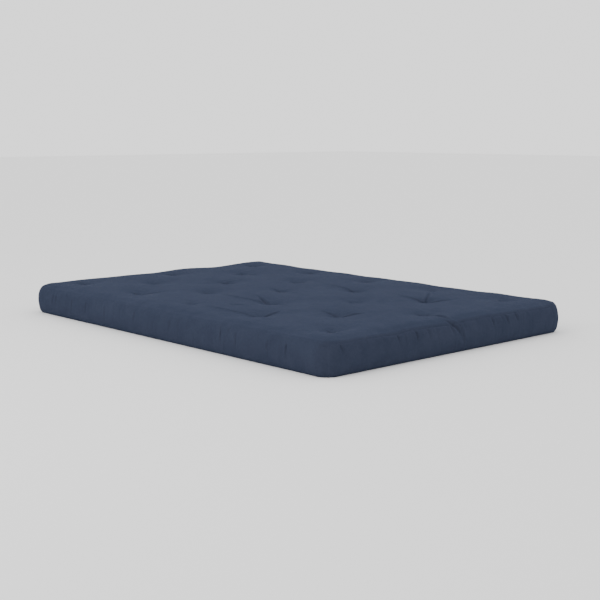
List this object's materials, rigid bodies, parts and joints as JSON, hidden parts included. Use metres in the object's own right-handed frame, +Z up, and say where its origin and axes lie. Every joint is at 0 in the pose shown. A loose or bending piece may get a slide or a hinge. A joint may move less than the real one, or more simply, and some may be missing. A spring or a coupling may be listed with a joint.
{
  "type": "futon mattress",
  "caption": "Thick tufted futon mattress for a sofa bed: a rectangular cotton-covered pad of felt and foam that folds across its width into a seat and a backrest.",
  "frame": {"origin": "on the underside, at the middle of the footprint", "axes": "+X across the width, +Y along the length towards the head end, which becomes the backrest, +Z up out of the top panel"},
  "size_m": [1.4, 2, 0.14],
  "materials": {
    "cover": "matte slate blue cotton twill",
    "felt": "needled cotton felt, undyed",
    "batting": "carded cotton and polyester batting, undyed",
    "foam": "open-cell foam, matte",
    "cord": "waxed tufting cord, dark blue"
  },
  "bodies": {
    "seat_section": {"cover_top_seat": "cover", "cover_bottom_seat": "cover", "border_foot": "cover", "border_left_seat": "cover", "border_right_seat": "cover", "felt_bottom_seat": "felt", "batting_lower_seat": "batting", "foam_core_seat": "foam", "batting_upper_seat": "batting", "felt_top_seat": "felt", "tuft_row1_left": "cord", "tuft_row1_centre": "cord", "tuft_row1_right": "cord", "tuft_row2_left": "cord", "tuft_row2_right": "cord", "tuft_row3_left": "cord", "tuft_row3_centre": "cord", "tuft_row3_right": "cord", "tuft_row4_left": "cord", "tuft_row4_right": "cord", "tuft_row5_left": "cord", "tuft_row5_centre": "cord", "tuft_row5_right": "cord"},
    "back_section": {"cover_top_back": "cover", "cover_bottom_back": "cover", "border_head": "cover", "border_left_back": "cover", "border_right_back": "cover", "felt_bottom_back": "felt", "batting_lower_back": "batting", "foam_core_back": "foam", "batting_upper_back": "batting", "felt_top_back": "felt", "tuft_row6_left": "cord", "tuft_row6_right": "cord", "tuft_row7_left": "cord", "tuft_row7_centre": "cord", "tuft_row7_right": "cord", "tuft_row8_left": "cord", "tuft_row8_right": "cord", "tuft_row9_left": "cord", "tuft_row9_centre": "cord", "tuft_row9_right": "cord"}
  },
  "joints": [
    {"name": "fold", "type": "hinge", "parent": "seat_section", "child": "back_section", "pos_m": [0, 0.09, 0.143], "axis": [1, 0, 0], "range_deg": [0, 180]}
  ]
}
